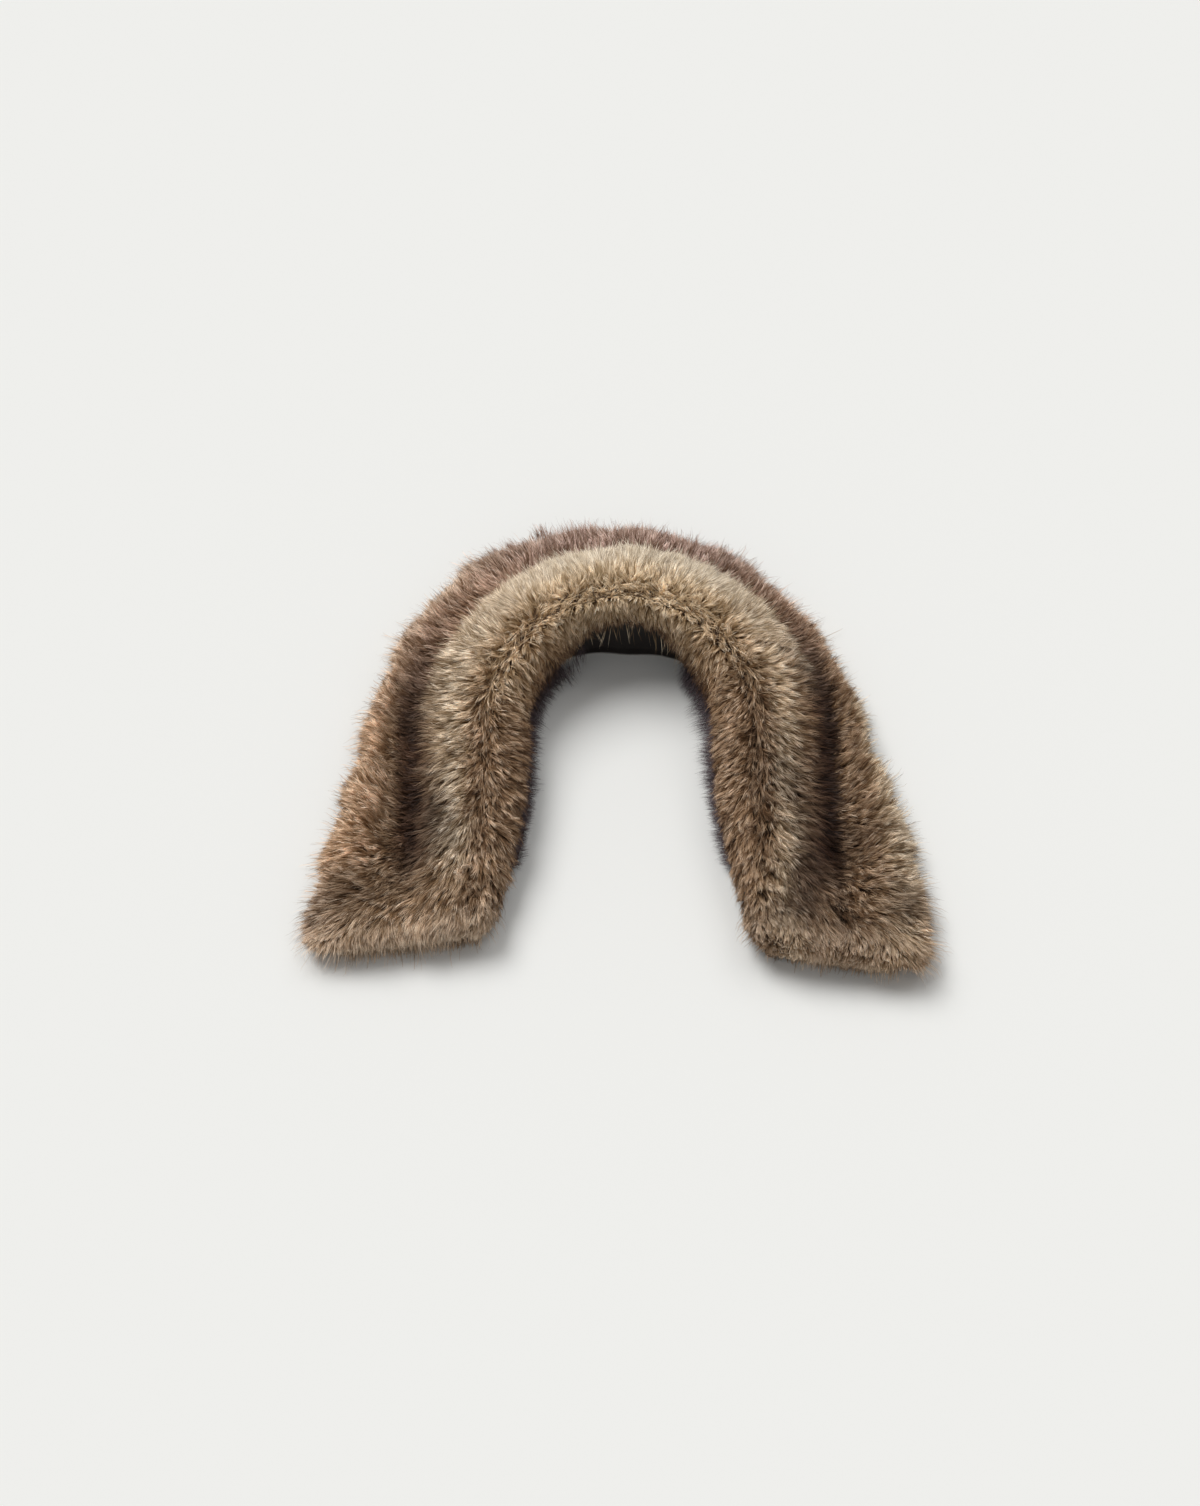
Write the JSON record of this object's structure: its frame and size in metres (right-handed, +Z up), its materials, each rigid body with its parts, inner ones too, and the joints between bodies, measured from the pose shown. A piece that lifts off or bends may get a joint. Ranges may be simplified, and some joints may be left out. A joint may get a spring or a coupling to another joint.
{
  "type": "fur collar wrap",
  "caption": "Striped long-pile faux fur collar, folded along its roll line and laid down as a horseshoe, with a black satin facing inside the back of the neck.",
  "frame": {"origin": "middle of the collar's box, on the surface it lies on", "axes": "+Z up, +Y towards the back of the neck, +X towards the arm on the right when the collar is seen from its open side"},
  "size_m": [0.4684, 0.3918, 0.0823],
  "materials": {
    "faux_fur": "long soft pile with pale and dark stripes, combed away from the crest",
    "stand_fur": "dark soft pile",
    "black_satin": "satin weave with a soft sheen"
  },
  "bodies": {
    "root": {"fur_collar": "faux_fur", "stand_edge_left": "stand_fur", "stand_edge_right": "stand_fur", "neck_facing": "black_satin"}
  },
  "joints": []
}
